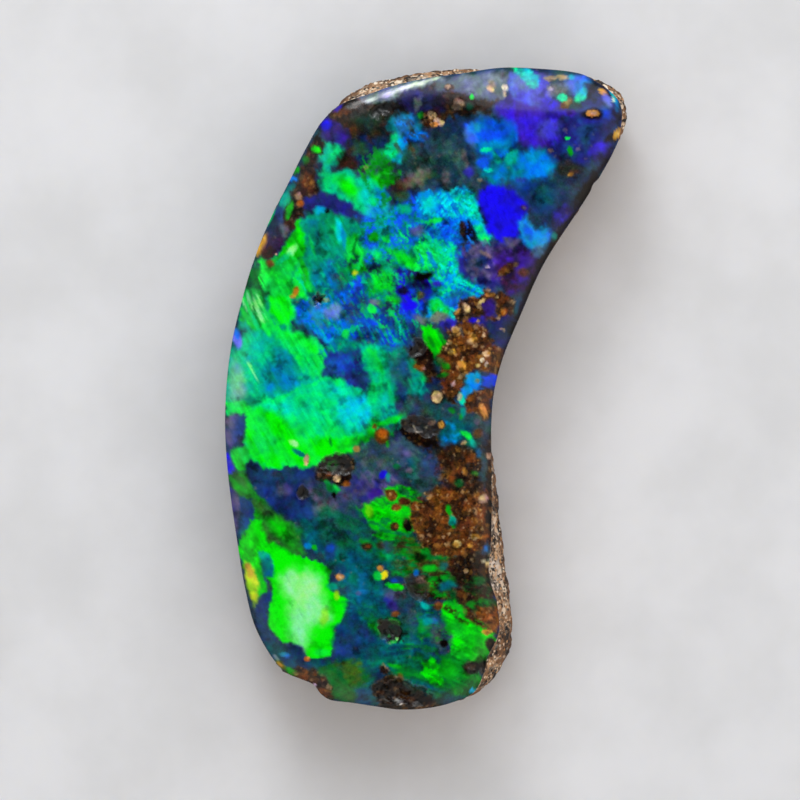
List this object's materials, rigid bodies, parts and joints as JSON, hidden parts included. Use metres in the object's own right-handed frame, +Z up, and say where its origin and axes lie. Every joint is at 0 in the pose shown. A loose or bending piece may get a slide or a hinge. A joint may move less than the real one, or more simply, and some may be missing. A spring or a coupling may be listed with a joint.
{
  "type": "boulder opal",
  "caption": "Free-form polished boulder opal: a bent slab of ironstone with a flat back, a rough broken wall and a gently domed play-of-colour face.",
  "frame": {"origin": "on the flat back's plane, under the middle of the stone's bounding box", "axes": "+Z up out of the polished face, +Y along the stone towards its wide shoulder and tip, +X towards the hollow side"},
  "size_m": [0.0162, 0.0258, 0.0042],
  "materials": {
    "opal_in_ironstone": "polished"
  },
  "bodies": {
    "root": {"boulder_opal": "opal_in_ironstone"}
  },
  "joints": []
}
